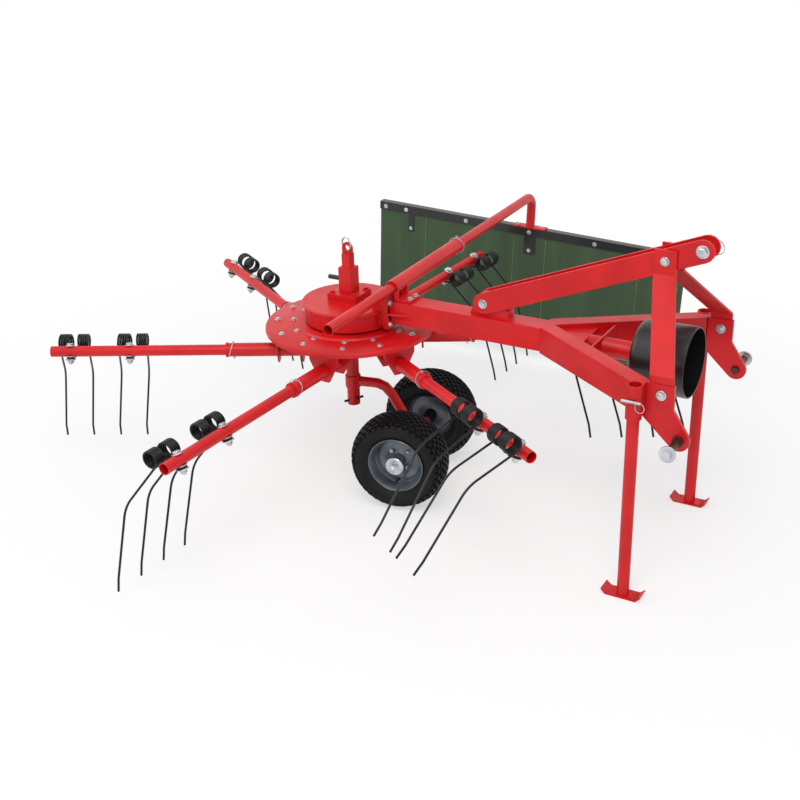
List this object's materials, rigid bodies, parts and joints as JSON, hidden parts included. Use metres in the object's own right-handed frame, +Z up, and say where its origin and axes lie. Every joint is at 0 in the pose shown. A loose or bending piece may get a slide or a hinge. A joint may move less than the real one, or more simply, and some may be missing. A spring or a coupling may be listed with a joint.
{
  "type": "rotary hay rake",
  "caption": "Tractor-mounted rotary hay rake: a driven disc carries radial tine arms, with two swinging wheels under it, a hitch frame on parking legs and a swath curtain.",
  "frame": {"origin": "on the ground under the middle of the bounding box", "axes": "+X forward to the tractor, +Y towards the swath curtain, +Z up"},
  "size_m": [2.6902, 2.6708, 1.2],
  "materials": {
    "red_paint": "glossy bright red paint",
    "black_paint": "satin black paint",
    "spring_steel": "black painted spring wire",
    "zinc": "bright zinc plating",
    "rim_silver": "silver grey paint",
    "shaft_steel": "machined steel",
    "tyre_rubber": "matt black rubber",
    "curtain_fabric": "matt dark green coated fabric"
  },
  "bodies": {
    "frame": {"rotor_housing": "red_paint", "height_adjuster": "red_paint", "adjuster_handle": "black_paint", "centre_column": "red_paint", "main_beam": "red_paint", "frame_branch_left": "red_paint", "frame_branch_right": "red_paint", "side_plate_left": "red_paint", "side_plate_right": "red_paint", "link_pin_left": "zinc", "link_pin_right": "zinc", "hitch_strap_left": "red_paint", "hitch_strap_right": "red_paint", "top_bar_left": "red_paint", "top_bar_right": "red_paint", "leg_sleeve_left": "red_paint", "leg_sleeve_right": "red_paint", "shaft_tube": "red_paint", "shaft_guard": "black_paint", "curtain_sleeve": "red_paint"},
    "carriage": {"wheel_carrier": "red_paint"},
    "rotor": {"rotor_disc": "red_paint", "arm_1_socket": "red_paint", "arm_2_socket": "red_paint", "arm_3_socket": "red_paint", "arm_4_socket": "red_paint", "arm_5_socket": "red_paint", "arm_6_socket": "red_paint"},
    "arm_1": {"arm_1_tube": "red_paint", "arm_1_tines_outer": "spring_steel", "arm_1_tines_inner": "spring_steel"},
    "arm_2": {"arm_2_tube": "red_paint", "arm_2_tines_outer": "spring_steel", "arm_2_tines_inner": "spring_steel"},
    "arm_3": {"arm_3_tube": "red_paint", "arm_3_tines_outer": "spring_steel", "arm_3_tines_inner": "spring_steel"},
    "arm_4": {"arm_4_tube": "red_paint", "arm_4_tines_outer": "spring_steel", "arm_4_tines_inner": "spring_steel"},
    "arm_5": {"arm_5_tube": "red_paint", "arm_5_tines_outer": "spring_steel", "arm_5_tines_inner": "spring_steel"},
    "arm_6": {"arm_6_tube": "red_paint", "arm_6_tines_outer": "spring_steel", "arm_6_tines_inner": "spring_steel"},
    "wheel_left": {"tyre_left": "tyre_rubber", "rim_left": "rim_silver"},
    "wheel_right": {"tyre_right": "tyre_rubber", "rim_right": "rim_silver"},
    "leg_left": {"parking_leg_left": "red_paint"},
    "leg_right": {"parking_leg_right": "red_paint"},
    "curtain": {"curtain_arm": "red_paint", "curtain_rail": "black_paint", "curtain_cloth": "curtain_fabric"},
    "drive_shaft": {"drive_shaft": "shaft_steel"}
  },
  "joints": [
    {"name": "rotor_spin", "type": "hinge", "parent": "frame", "child": "rotor", "pos_m": [-0.1458, -0.0773, 0.6], "axis": [0, 0, 1], "continuous": true},
    {"name": "arm_1_pitch", "type": "hinge", "parent": "rotor", "child": "arm_1", "pos_m": [-0.11528, -0.13469, 0.571], "axis": [0.8829, 0.4695, 0], "range_deg": [-5, 42]},
    {"name": "arm_2_pitch", "type": "hinge", "parent": "rotor", "child": "arm_2", "pos_m": [-0.08084, -0.07957, 0.571], "axis": [0.0349, 0.9994, 0], "range_deg": [-2, 45]},
    {"name": "arm_3_pitch", "type": "hinge", "parent": "rotor", "child": "arm_3", "pos_m": [-0.11136, -0.02218, 0.571], "axis": [-0.848, 0.5299, 0], "range_deg": [-41, 6]},
    {"name": "arm_4_pitch", "type": "hinge", "parent": "rotor", "child": "arm_4", "pos_m": [-0.17632, -0.01991, 0.571], "axis": [-0.8829, -0.4695, 0], "range_deg": [-46, 1]},
    {"name": "arm_5_pitch", "type": "hinge", "parent": "rotor", "child": "arm_5", "pos_m": [-0.21076, -0.07503, 0.571], "axis": [-0.0349, -0.9994, 0], "range_deg": [-3, 44]},
    {"name": "arm_6_pitch", "type": "hinge", "parent": "rotor", "child": "arm_6", "pos_m": [-0.18024, -0.13242, 0.571], "axis": [0.848, -0.5299, 0], "range_deg": [-4, 43]},
    {"name": "carriage_swing", "type": "hinge", "parent": "frame", "child": "carriage", "pos_m": [-0.1458, -0.0773, 0.405], "axis": [0, 0, 1], "range_deg": [-41.6, 18.4]},
    {"name": "wheel_left_spin", "type": "hinge", "parent": "carriage", "child": "wheel_left", "pos_m": [0.07106, 0.18415, 0.192], "axis": [-0.2011, 0.9796, 0], "continuous": true},
    {"name": "wheel_right_spin", "type": "hinge", "parent": "carriage", "child": "wheel_right", "pos_m": [0.15652, -0.23217, 0.192], "axis": [-0.2011, 0.9796, 0], "continuous": true},
    {"name": "leg_left_slide", "type": "slide", "parent": "frame", "child": "leg_left", "axis": [0, 0, 1], "range_m": [0, 0.56]},
    {"name": "leg_right_slide", "type": "slide", "parent": "frame", "child": "leg_right", "axis": [0, 0, 1], "range_m": [0, 0.56]},
    {"name": "curtain_slide", "type": "slide", "parent": "frame", "child": "curtain", "axis": [-0.0307, 0.9995, 0], "range_m": [0, 0.35]},
    {"name": "drive_shaft_spin", "type": "hinge", "parent": "frame", "child": "drive_shaft", "pos_m": [1.0042, -0.0773, 0.75], "axis": [1, 0, 0], "continuous": true}
  ],
  "couplings": [
    {"joint": "drive_shaft_spin", "follows": "rotor_spin", "ratio": 6}
  ]
}
